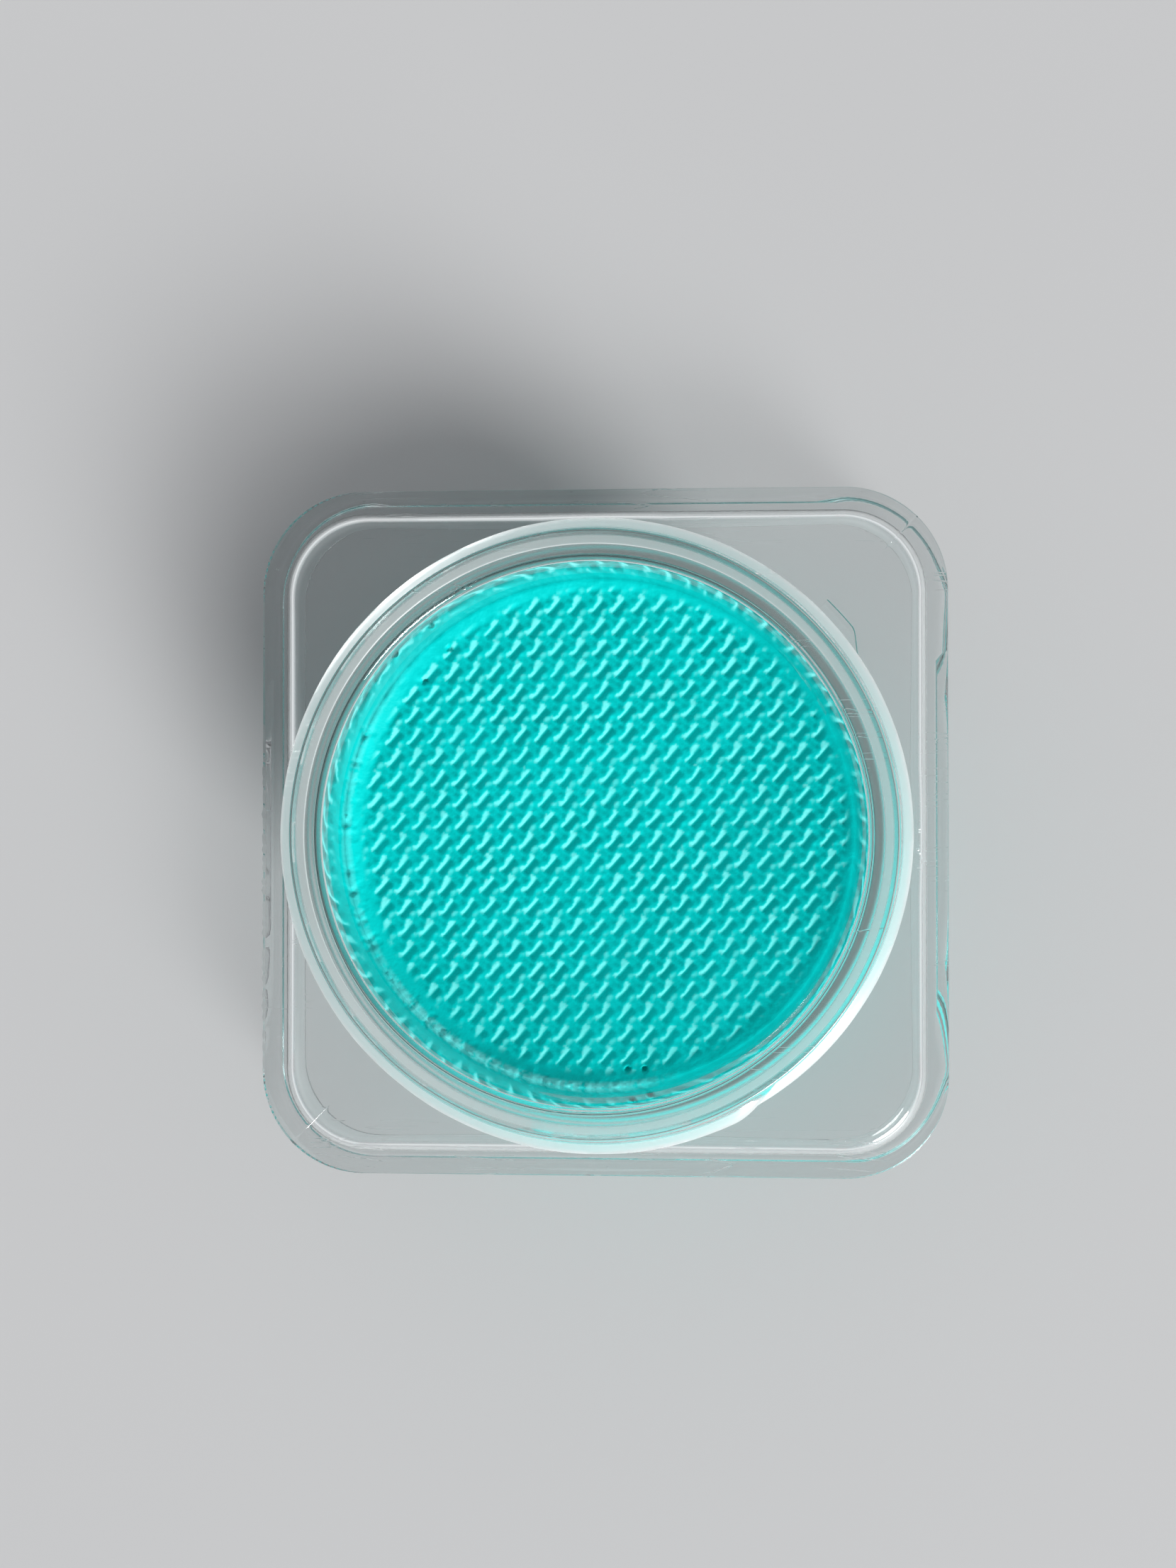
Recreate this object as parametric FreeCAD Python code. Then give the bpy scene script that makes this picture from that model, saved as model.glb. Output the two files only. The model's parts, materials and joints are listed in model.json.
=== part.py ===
# A clear square pot with a round cup in its middle, holding a pressed cake of water-activated pigment.
# The pot is one moulding: a square skirt that stands on the table, a flat deck on the skirt, and a round
# cup that hangs through the deck and rises above it as the neck that a lid screws on.
# Millimetres, +Z up. The origin is the middle of the footprint, on the table.

import FreeCAD, Part
import math
import os

# Cup and neck, across
CUP_RADIUS = 10.95  # the cup's wall where it meets the lip's plane
CUP_INNER_DRAFT = 2.0  # degrees, narrowing to the floor
CUP_OUTER_DRAFT = 1.5  # degrees, below the deck, narrowing to the underside
NECK_WALL = 1.45  # from the cup's wall to the neck's outside, at the lip
NECK_ROOT_FLARE = 0.15  # the neck widens by this much from the lug's top down to the deck
NECK_ROOT_FILLET = 0.3  # between the neck and the deck

# Lip: an inner rounding, a flat land that a lid's liner seals on, and a small outer rounding
LIP_LAND = 0.9
LIP_OUTER_ROUND = 0.15

# Heights
CUP_FOOT_GAP = 0.5  # the cup's underside above the table
CUP_FLOOR_THICKNESS = 1.2
DECK_HEIGHT = 5.7  # top of the deck above the table
DECK_THICKNESS = 1.1
NECK_HEIGHT = 6.7  # lip above the deck
CUP_FLOOR_FILLET = 0.8  # inside, between floor and wall
CUP_HEEL_FILLET = 1.2  # outside, between underside and wall

# Square deck and skirt
DECK_LEDGE = 2.6  # the deck's width beside the neck, in the middle of a side
CORNER_RADIUS = 4.5  # corners of the deck's outline
SKIRT_FOOT_WALL = 0.6  # the skirt's wall where it stands on the table
SKIRT_OUTER_DRAFT = 1.5  # degrees, narrowing to the foot
SKIRT_INNER_DRAFT = 1.0  # degrees, widening to the foot
DECK_UNDER_FILLET = 0.5  # between the deck's underside and the walls that hang from it

# Stop lug on the deck, which meets the lid's own stop when the two squares line up
LUG_REACH = 1.5  # out from the neck
LUG_HEIGHT = 1.75
LUG_FACE_ANGLE = 45.6  # degrees from +X to the square face that takes the lid's stop
LUG_LAND_SWEEP = 7.0  # degrees of full width
LUG_RAMP_SWEEP = 15.0  # degrees over which the lug runs out into the neck

# Gate mark under the cup, where the plastic went in
GATE_DIMPLE_RADIUS = 2.2
GATE_DIMPLE_DEPTH = 0.3
GATE_STUB_RADIUS = 0.6
GATE_STUB_HEIGHT = 0.2

# Pigment cake
CAKE_DEPTH_BELOW_LIP = 4.2
CAKE_WALL_GAP = 0.05  # the cake shrinks from the wall as it dries
CAKE_EDGE_CHAMFER = 0.25
CAKE_BORDER = 0.5  # smooth slope from the edge down to the pressed middle
CAKE_DISH = 0.2  # the pressed middle lies this much below the edge

# Furrows in the pressed middle, left by one set of threads of the cloth that the cake was pressed through
FURROW_ANGLE = 47.5  # degrees from +X
FURROW_SPACING = 0.662
FURROW_SHIFT = 0.044  # from the cake's axis to the middle furrow, to the right of the way that they run
FURROW_STEEP_SIDE = 0.18  # width of the side on the left of the way that they run
FURROW_GENTLE_SIDE = 0.32  # width of the other side
FURROW_DEPTH = 0.19
FURROW_MARGIN = 0.1  # from the furrows' ends to the pressed middle's outline

# Radii and levels that follow from the sizes above
NECK_RADIUS = CUP_RADIUS + NECK_WALL
LIP_INNER_ROUND = NECK_WALL - LIP_LAND - LIP_OUTER_ROUND
LUG_RADIUS = NECK_RADIUS + LUG_REACH
SQUARE_SIDE = 2 * (NECK_RADIUS + DECK_LEDGE)
LIP_LEVEL = DECK_HEIGHT + NECK_HEIGHT
DECK_UNDERSIDE = DECK_HEIGHT - DECK_THICKNESS
CUP_FLOOR_LEVEL = CUP_FOOT_GAP + CUP_FLOOR_THICKNESS
CAKE_LEVEL = LIP_LEVEL - CAKE_DEPTH_BELOW_LIP

UP = FreeCAD.Vector(0, 0, 1)
ORIGIN = FreeCAD.Vector(0, 0, 0)
MATCH = 1e-4  # how closely an edge must lie to the level or radius that it is looked up by


def slope(degrees):
    """Run over rise of a drafted wall."""
    return math.tan(math.radians(degrees))


def cup_inner_radius(level):
    """Radius of the cup's inner wall at a height above the table."""
    return CUP_RADIUS - (LIP_LEVEL - level) * slope(CUP_INNER_DRAFT)


def cup_outer_radius(level):
    """Radius of the cup's outer wall at a height below the deck."""
    return NECK_RADIUS - (DECK_HEIGHT - level) * slope(CUP_OUTER_DRAFT)


def skirt_outer_inset(level):
    """How far the skirt's outside lies inside the deck's outline at a height."""
    return (DECK_HEIGHT - level) * slope(SKIRT_OUTER_DRAFT)


def skirt_inner_inset(level):
    """How far the skirt's inside lies inside the deck's outline at a height."""
    return skirt_outer_inset(0) + SKIRT_FOOT_WALL + level * slope(SKIRT_INNER_DRAFT)


def on_axis_plane(radius, level):
    """A point of a turned profile, in the XZ plane."""
    return FreeCAD.Vector(radius, 0, level)


def on_deck(radius, degrees):
    """A point on the deck, by radius and angle from +X."""
    angle = math.radians(degrees)
    return FreeCAD.Vector(radius * math.cos(angle), radius * math.sin(angle), DECK_HEIGHT)


def line(start, end):
    """A straight edge."""
    return Part.LineSegment(start, end).toShape()


def turned(profile):
    """The solid that a closed profile of (radius, level) corners sweeps about the Z axis."""
    corners = [on_axis_plane(radius, level) for radius, level in profile]
    face = Part.Face(Part.makePolygon(corners + corners[:1]))
    return face.revolve(ORIGIN, UP, 360)


def rounded_square(inset, level):
    """Wire of the deck's outline drawn in by an inset, at a level."""
    half = SQUARE_SIDE / 2 - inset
    radius = CORNER_RADIUS - inset
    flat = half - radius
    mid = flat + radius * math.sqrt(0.5)
    edges = []
    for quarter in range(4):
        turn = FreeCAD.Rotation(UP, 90 * quarter)
        low, high, corner, end = [
            turn.multVec(FreeCAD.Vector(x, y, level))
            for x, y in ((half, -flat), (half, flat), (mid, mid), (flat, half))
        ]
        edges.append(line(low, high))
        edges.append(Part.Arc(high, corner, end).toShape())
    return Part.Wire(edges)


def drafted_square(inset_at, low_level, high_level):
    """Solid between two levels whose outline is drawn in by inset_at(level)."""
    wires = [rounded_square(inset_at(level), level) for level in (low_level, high_level)]
    return Part.makeLoft(wires, True, True)


def edges_at(shape, level):
    """Edges of a shape that lie flat at a level."""
    return [
        edge
        for edge in shape.Edges
        if abs(edge.BoundBox.ZMin - level) < MATCH and abs(edge.BoundBox.ZMax - level) < MATCH
    ]


def circles_at(shape, level, radius):
    """Circular edges of a shape that lie flat at a level and have a radius."""
    return [
        edge
        for edge in edges_at(shape, level)
        if isinstance(edge.Curve, Part.Circle) and abs(edge.Curve.Radius - radius) < MATCH
    ]


def cup_outside():
    """The cup's outer body from its rounded underside up to the deck's top."""
    heel_radius = cup_outer_radius(CUP_FOOT_GAP)
    body = turned(
        [
            (0, CUP_FOOT_GAP),
            (heel_radius, CUP_FOOT_GAP),
            (NECK_RADIUS, DECK_HEIGHT),
            (0, DECK_HEIGHT),
        ]
    )
    return body.makeFillet(CUP_HEEL_FILLET, circles_at(body, CUP_FOOT_GAP, heel_radius))


def cup_inside():
    """The space in the cup, from its floor to the lip."""
    floor_radius = cup_inner_radius(CUP_FLOOR_LEVEL)
    space = turned(
        [
            (0, CUP_FLOOR_LEVEL),
            (floor_radius, CUP_FLOOR_LEVEL),
            (CUP_RADIUS, LIP_LEVEL),
            (0, LIP_LEVEL),
        ]
    )
    return space.makeFillet(CUP_FLOOR_FILLET, circles_at(space, CUP_FLOOR_LEVEL, floor_radius))


def skirt_hollow():
    """The space under the deck, all round the cup, open to the table."""
    hollow = drafted_square(skirt_inner_inset, 0, DECK_UNDERSIDE).cut(cup_outside())
    room = SQUARE_SIDE / 2 - skirt_inner_inset(DECK_UNDERSIDE) - cup_outer_radius(DECK_UNDERSIDE)
    fillet = min(DECK_UNDER_FILLET, 0.4 * room)
    return hollow.makeFillet(fillet, edges_at(hollow, DECK_UNDERSIDE))


def neck():
    """The round neck before it is hollowed: plain above the lug, flared below it."""
    return turned(
        [
            (0, DECK_HEIGHT),
            (NECK_RADIUS + NECK_ROOT_FLARE, DECK_HEIGHT),
            (NECK_RADIUS, DECK_HEIGHT + LUG_HEIGHT),
            (NECK_RADIUS, LIP_LEVEL),
            (0, LIP_LEVEL),
        ]
    )


def stop_lug():
    """Lug with one square face and one ramp, rooted inside the neck's wall."""
    root = NECK_RADIUS - NECK_WALL / 2
    land_mid = LUG_FACE_ANGLE - LUG_LAND_SWEEP / 2
    land_end = LUG_FACE_ANGLE - LUG_LAND_SWEEP
    ramp_end = land_end - LUG_RAMP_SWEEP
    face_root, face_tip = on_deck(root, LUG_FACE_ANGLE), on_deck(LUG_RADIUS, LUG_FACE_ANGLE)
    land_tip = on_deck(LUG_RADIUS, land_end)
    ramp_tip, ramp_root = on_deck(NECK_RADIUS, ramp_end), on_deck(root, ramp_end)
    outline = [
        line(face_root, face_tip),
        Part.Arc(face_tip, on_deck(LUG_RADIUS, land_mid), land_tip).toShape(),
        line(land_tip, ramp_tip),
        line(ramp_tip, ramp_root),
        line(ramp_root, face_root),
    ]
    return Part.Face(Part.Wire(outline)).extrude(UP * LUG_HEIGHT)


def with_gate_mark(body):
    """The body with a shallow dimple under its cup and the gate's stub in the dimple."""
    dimple = Part.makeCylinder(GATE_DIMPLE_RADIUS, GATE_DIMPLE_DEPTH, on_axis_plane(0, CUP_FOOT_GAP))
    stub_foot = CUP_FOOT_GAP + GATE_DIMPLE_DEPTH - GATE_STUB_HEIGHT
    stub = Part.makeCylinder(GATE_STUB_RADIUS, GATE_STUB_HEIGHT, on_axis_plane(0, stub_foot))
    return body.cut(dimple).fuse(stub)


def pot():
    """The whole clear moulding."""
    skirt = drafted_square(skirt_outer_inset, 0, DECK_HEIGHT).cut(skirt_hollow())
    under_cup = Part.makeCylinder(cup_outer_radius(CUP_FOOT_GAP), CUP_FOOT_GAP, ORIGIN)
    body = skirt.cut(under_cup).fuse(neck())
    neck_root = circles_at(body, DECK_HEIGHT, NECK_RADIUS + NECK_ROOT_FLARE)
    body = body.makeFillet(NECK_ROOT_FILLET, neck_root).cut(cup_inside())
    body = body.makeFillet(LIP_INNER_ROUND, circles_at(body, LIP_LEVEL, CUP_RADIUS))
    body = body.makeFillet(LIP_OUTER_ROUND, circles_at(body, LIP_LEVEL, NECK_RADIUS))
    return with_gate_mark(body.fuse(stop_lug())).removeSplitter()


def furrow(middle, run, left, half_length):
    """Prism that cuts one furrow whose bottom lies under a point, along a run."""
    corners = [left * FURROW_STEEP_SIDE, left * -FURROW_GENTLE_SIDE, UP * -FURROW_DEPTH]
    start = middle - run * half_length
    outline = [start + corner for corner in corners]
    return Part.Face(Part.makePolygon(outline + outline[:1])).extrude(run * 2 * half_length)


def furrows(radius, level):
    """The furrows of a whole round field, each as long as the field is wide there."""
    run = FreeCAD.Rotation(UP, FURROW_ANGLE).multVec(FreeCAD.Vector(1, 0, 0))
    left = UP.cross(run)
    count = math.ceil(radius / FURROW_SPACING)
    cuts = []
    for number in range(-count, count + 1):
        aside = number * FURROW_SPACING - FURROW_SHIFT
        outer = max(aside + FURROW_STEEP_SIDE, FURROW_GENTLE_SIDE - aside)
        if outer < 0.98 * radius:
            half_length = math.sqrt(radius**2 - outer**2)
            cuts.append(furrow(on_axis_plane(0, level) + left * aside, run, left, half_length))
    return cuts


def pigment_cake():
    """The pressed cake: it fills the cup to a level below the lip, with a broken edge and a furrowed middle."""
    floor_radius = cup_inner_radius(CUP_FLOOR_LEVEL) - CAKE_WALL_GAP
    top_radius = cup_inner_radius(CAKE_LEVEL) - CAKE_WALL_GAP
    rim = top_radius - CAKE_EDGE_CHAMFER
    middle = rim - CAKE_BORDER
    body = turned(
        [
            (0, CUP_FLOOR_LEVEL),
            (floor_radius, CUP_FLOOR_LEVEL),
            (top_radius, CAKE_LEVEL - CAKE_EDGE_CHAMFER),
            (rim, CAKE_LEVEL),
            (middle, CAKE_LEVEL - CAKE_DISH),
            (0, CAKE_LEVEL - CAKE_DISH),
        ]
    )
    body = body.makeFillet(CUP_FLOOR_FILLET, circles_at(body, CUP_FLOOR_LEVEL, floor_radius))
    return body.cut(furrows(middle - FURROW_MARGIN, CAKE_LEVEL - CAKE_DISH))


def main():
    """Write each piece to its own file."""
    os.makedirs("parts", exist_ok=True)
    for name, shape in {"pot": pot(), "pigment_cake": pigment_cake()}.items():
        print(name, "solids", len(shape.Solids), "valid", shape.isValid(), "volume", round(shape.Volume, 2))
        Part.makeCompound(shape.Solids).exportStep(f"parts/{name}.step")


main()
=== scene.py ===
"""Looks of a clear square pot whose round cup holds a pressed cake of teal pigment."""

from __future__ import annotations

import json
import logging
import math
from dataclasses import asdict, dataclass
from enum import Enum
from functools import partial, reduce
from typing import Any, Sequence

import bpy
import numpy as np
from bpy.types import Material, Node, NodeSocket, NodeTree, Object
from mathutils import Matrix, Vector
from mathutils.geometry import delaunay_2d_cdt

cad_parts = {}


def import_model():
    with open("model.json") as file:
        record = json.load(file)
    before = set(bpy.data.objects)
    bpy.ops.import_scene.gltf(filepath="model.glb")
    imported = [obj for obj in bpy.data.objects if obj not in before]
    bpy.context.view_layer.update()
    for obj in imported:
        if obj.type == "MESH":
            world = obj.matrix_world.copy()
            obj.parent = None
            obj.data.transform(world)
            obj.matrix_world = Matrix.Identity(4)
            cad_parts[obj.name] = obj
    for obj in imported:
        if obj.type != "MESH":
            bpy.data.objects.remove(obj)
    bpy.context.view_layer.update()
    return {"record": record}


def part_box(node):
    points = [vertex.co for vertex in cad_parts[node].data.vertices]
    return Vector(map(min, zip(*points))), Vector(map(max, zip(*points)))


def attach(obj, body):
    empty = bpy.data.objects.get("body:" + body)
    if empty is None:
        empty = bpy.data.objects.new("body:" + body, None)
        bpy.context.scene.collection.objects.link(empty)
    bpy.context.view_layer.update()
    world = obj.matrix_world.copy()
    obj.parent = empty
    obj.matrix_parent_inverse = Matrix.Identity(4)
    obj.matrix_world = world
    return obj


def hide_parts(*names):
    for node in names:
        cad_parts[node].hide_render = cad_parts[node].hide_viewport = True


LOG = logging.getLogger("paint_pot")
MM = 0.001
WHOLE_TURN = 2 * math.pi
PHOTO_LONG_SIDE = 2212

Sizes = float | np.ndarray
Pair = tuple[float, float]
Triple = tuple[float, float, float]
Range = tuple[float, float, float, float]
Colour = Triple


class Piece(Enum):
    """Pieces of the object, each with the solid that it stands for."""

    MOULDED_POT = "pot"
    PRESSED_CAKE = "pigment_cake"


class Slot(Enum):
    """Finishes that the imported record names."""

    PLASTIC = "clear_polystyrene"
    PIGMENT = "pressed_pigment"


class Graph:
    """Adds nodes to a shader or geometry tree and joins them.

    What goes into a node is an output socket, which is joined, or a plain value, which is set.
    """

    def __init__(self, tree: NodeTree) -> None:
        """Starts on a tree."""
        self.tree = tree

    def node(self, kind: str, inputs: dict[Any, Any] | None = None, **settings: Any) -> Node:
        """Adds a node.

        Args:
            kind: the node's type name.
            inputs: what goes into it, by the socket's name or number.
            settings: properties to set on it.

        Returns:
            The new node.
        """
        made = self.tree.nodes.new(kind)
        for key, value in settings.items():
            setattr(made, key, value)
        for key, value in (inputs or {}).items():
            self.feed(made.inputs[key], value)
        return made

    def feed(self, socket: NodeSocket, value: Any) -> None:
        """Joins an output to an input, or sets the input's own value.

        Args:
            socket: the input.
            value: an output socket or a plain value.
        """
        if isinstance(value, NodeSocket):
            self.tree.links.new(value, socket)
        else:
            socket.default_value = value

    def math(self, operation: str, *values: Any, clamp: bool = False) -> NodeSocket:
        """Works out a number by a Math node, held between 0 and 1 if it is clamped."""
        made = self.node("ShaderNodeMath", dict(enumerate(values)), operation=operation, use_clamp=clamp)
        return made.outputs[0]

    def product(self, *values: Any) -> NodeSocket:
        """Multiplies numbers in order."""
        return reduce(partial(self.math, "MULTIPLY"), values)

    def most(self, *values: Any) -> NodeSocket:
        """Picks the largest of some numbers."""
        return reduce(partial(self.math, "MAXIMUM"), values)

    def minus(self, value: Any, less: Any) -> NodeSocket:
        """Takes one number from another."""
        return self.math("SUBTRACT", value, less)

    def ratio(self, value: Any, by: Any) -> NodeSocket:
        """Divides one number by another."""
        return self.math("DIVIDE", value, by)

    def vector(self, operation: str, *values: Any, output: str = "Vector") -> NodeSocket:
        """Works out a vector, or another output, by a Vector Math node."""
        return self.node("ShaderNodeVectorMath", dict(enumerate(values)), operation=operation).outputs[output]

    def measured(self, operation: str, *values: Any) -> NodeSocket:
        """Works out a number from vectors, such as a dot product or a length."""
        return self.vector(operation, *values, output="Value")

    def scaled(self, vector: Any, factor: Any) -> NodeSocket:
        """Scales a vector by a number."""
        inputs = {"Vector": vector, "Scale": factor}
        return self.node("ShaderNodeVectorMath", inputs, operation="SCALE").outputs["Vector"]

    def split(self, vector: NodeSocket) -> Sequence[NodeSocket]:
        """Takes a vector apart into x, y and z."""
        return self.node("ShaderNodeSeparateXYZ", {0: vector}).outputs

    def joined(self, *parts: Any) -> NodeSocket:
        """Makes a vector of x, y and z."""
        return self.node("ShaderNodeCombineXYZ", dict(enumerate(parts))).outputs[0]

    def coordinates(self, kind: str = "Object") -> NodeSocket:
        """Gives the place on the object, or another output of Texture Coordinate."""
        return self.node("ShaderNodeTexCoord").outputs[kind]

    def eased(self, value: Any, low: Any, high: Any, to_low: Any = 0.0, to_high: Any = 1.0) -> NodeSocket:
        """Maps a value smoothly from low and high to to_low and to_high, and holds it at both ends."""
        inputs = {"Value": value, "From Min": low, "From Max": high, "To Min": to_low, "To Max": to_high}
        return self.node("ShaderNodeMapRange", inputs, interpolation_type="SMOOTHSTEP").outputs["Result"]

    def noise(self, vector: Any, scale: Any, detail: float, seed: Any, output: str | int = 0) -> NodeSocket:
        """Adds a seeded noise with a number of cells for each metre, and gives one of its outputs."""
        inputs = {"Vector": vector, "Scale": scale, "Detail": detail, "W": seed}
        return self.node("ShaderNodeTexNoise", inputs, noise_dimensions="4D").outputs[output]

    def blended(self, factor: Any, first: Any, second: Any) -> NodeSocket:
        """Mixes two colours.

        Args:
            factor: 0 for the first, 1 for the second.
            first: a colour or its socket.
            second: a colour or its socket.

        Returns:
            The mixed colour's socket.
        """
        made = self.node("ShaderNodeMix", {"Factor": factor}, data_type="RGBA")
        sockets = {socket.name: socket for socket in made.inputs if socket.type == "RGBA"}
        for name, colour in (("A", first), ("B", second)):
            self.feed(sockets[name], colour if isinstance(colour, NodeSocket) else (*colour, 1.0))
        return next(socket for socket in made.outputs if socket.type == "RGBA")

    def mixed(self, factor: Any, first: Node, second: Node) -> Node:
        """Mixes two shaders: all of the first at 0, all of the second at 1."""
        return self.node("ShaderNodeMixShader", {0: factor, 1: first.outputs[0], 2: second.outputs[0]})

    def roughen(self, shader: Node, height: NodeSocket, strength: float, distance: float) -> None:
        """Gives a shader's surface a bump."""
        inputs = {"Height": height, "Strength": strength, "Distance": distance}
        self.feed(shader.inputs["Normal"], self.node("ShaderNodeBump", inputs).outputs[0])


def socket_name(field: str) -> str:
    """Gives the name that a field's socket has."""
    return field.replace("_", " ").title()


@dataclass(frozen=True)
class MottleGroup:
    """Shader group for what the finishes share: soft clouds of tone and a few small flecks."""

    name: str = "surface_mottle"
    cloud_detail: float = 4.0
    cloud_seed: float = 3.1
    cloud_limits: Pair = (0.3, 0.7)
    fleck_core: float = 0.5

    def tree(self) -> NodeTree:
        """Builds the group once and gives it back after that.

        Returns:
            The group's tree.
        """
        known = bpy.data.node_groups.get(self.name)
        if known:
            return known
        tree = bpy.data.node_groups.new(self.name, "ShaderNodeTree")
        for name, kind, value in (
            ("Vector", "NodeSocketVector", (0.0, 0.0, 0.0)),
            ("Cloud Size", "NodeSocketFloat", 2.0 * MM),
            ("Fleck Spacing", "NodeSocketFloat", 1.0 * MM),
            ("Fleck Radius", "NodeSocketFloat", 0.05 * MM),
            ("Fleck Share", "NodeSocketFloat", 0.2),
        ):
            tree.interface.new_socket(name=name, in_out="INPUT", socket_type=kind).default_value = value
        for name in ("Cloud", "Fleck"):
            tree.interface.new_socket(name=name, in_out="OUTPUT", socket_type="NodeSocketFloat")
        graph = Graph(tree)
        given = graph.node("NodeGroupInput").outputs
        put_out = graph.node("NodeGroupOutput").inputs
        scale = graph.ratio(1.0, given["Cloud Size"])
        cloud = graph.noise(given["Vector"], scale, self.cloud_detail, self.cloud_seed)
        graph.feed(put_out["Cloud"], graph.eased(cloud, *self.cloud_limits))
        inputs = {"Vector": given["Vector"], "Scale": graph.ratio(1.0, given["Fleck Spacing"])}
        cells = graph.node("ShaderNodeTexVoronoi", inputs, feature="F1").outputs
        reach = graph.ratio(given["Fleck Radius"], given["Fleck Spacing"])
        fleck = graph.eased(cells["Distance"], graph.product(reach, self.fleck_core), reach, 1.0, 0.0)
        chosen = graph.math("LESS_THAN", graph.split(cells["Color"])[0], given["Fleck Share"])
        graph.feed(put_out["Fleck"], graph.product(fleck, chosen))
        return tree

    def place(self, graph: Graph, **sizes: float) -> tuple[NodeSocket, NodeSocket]:
        """Puts the group into a material.

        Args:
            graph: the material's graph.
            sizes: the group's inputs, with _ for a space.

        Returns:
            Sockets of the clouds and of the flecks.
        """
        inputs = {socket_name(name): size for name, size in sizes.items()}
        inputs["Vector"] = graph.coordinates()
        made = graph.node("ShaderNodeGroup", inputs, node_tree=self.tree())
        return made.outputs["Cloud"], made.outputs["Fleck"]


def new_material(name: str) -> tuple[Material, Graph, Node, Node]:
    """Makes a material with a plain Principled shader.

    Args:
        name: the material's name.

    Returns:
        The material, its graph, its shader and its output.
    """
    material = bpy.data.materials.new(name)
    material.use_nodes = True
    material.node_tree.nodes.clear()
    graph = Graph(material.node_tree)
    shader = graph.node("ShaderNodeBsdfPrincipled")
    output = graph.node("ShaderNodeOutputMaterial", {"Surface": shader.outputs[0]})
    return material, graph, shader, output


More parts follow.
